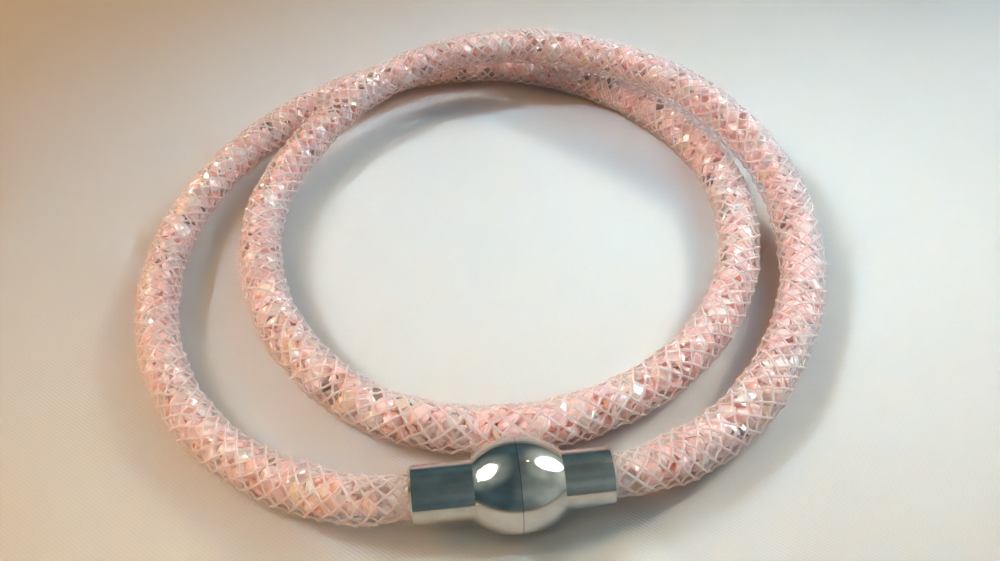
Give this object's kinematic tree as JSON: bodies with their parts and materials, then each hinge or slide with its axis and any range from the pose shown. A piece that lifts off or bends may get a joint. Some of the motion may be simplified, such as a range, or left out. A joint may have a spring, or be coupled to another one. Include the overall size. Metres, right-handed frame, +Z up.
{
  "type": "double-wrap crystal mesh bracelet",
  "caption": "Bracelet that goes twice round the wrist: a soft net tube filled with loose cut crystals, closed by a barrel-shaped magnetic clasp.",
  "frame": {"origin": "on the ground under the middle of the bracelet's outline as it lies", "axes": "+Z up, +X to the wearer's right along the clasp side, -Y towards the clasp"},
  "size_m": [0.081, 0.0792, 0.0107],
  "materials": {
    "net": "sheer pale pink knotless nylon net",
    "crystal": "cut and polished, rose pink with smoky and clear stones",
    "clasp_metal": "mirror polished with fine hairline scratches",
    "magnet": "plain plated"
  },
  "bodies": {
    "root": {"net_tube": "net", "crystals": "crystal", "clasp_left": "clasp_metal", "clasp_right": "clasp_metal", "magnet": "magnet"}
  },
  "joints": []
}
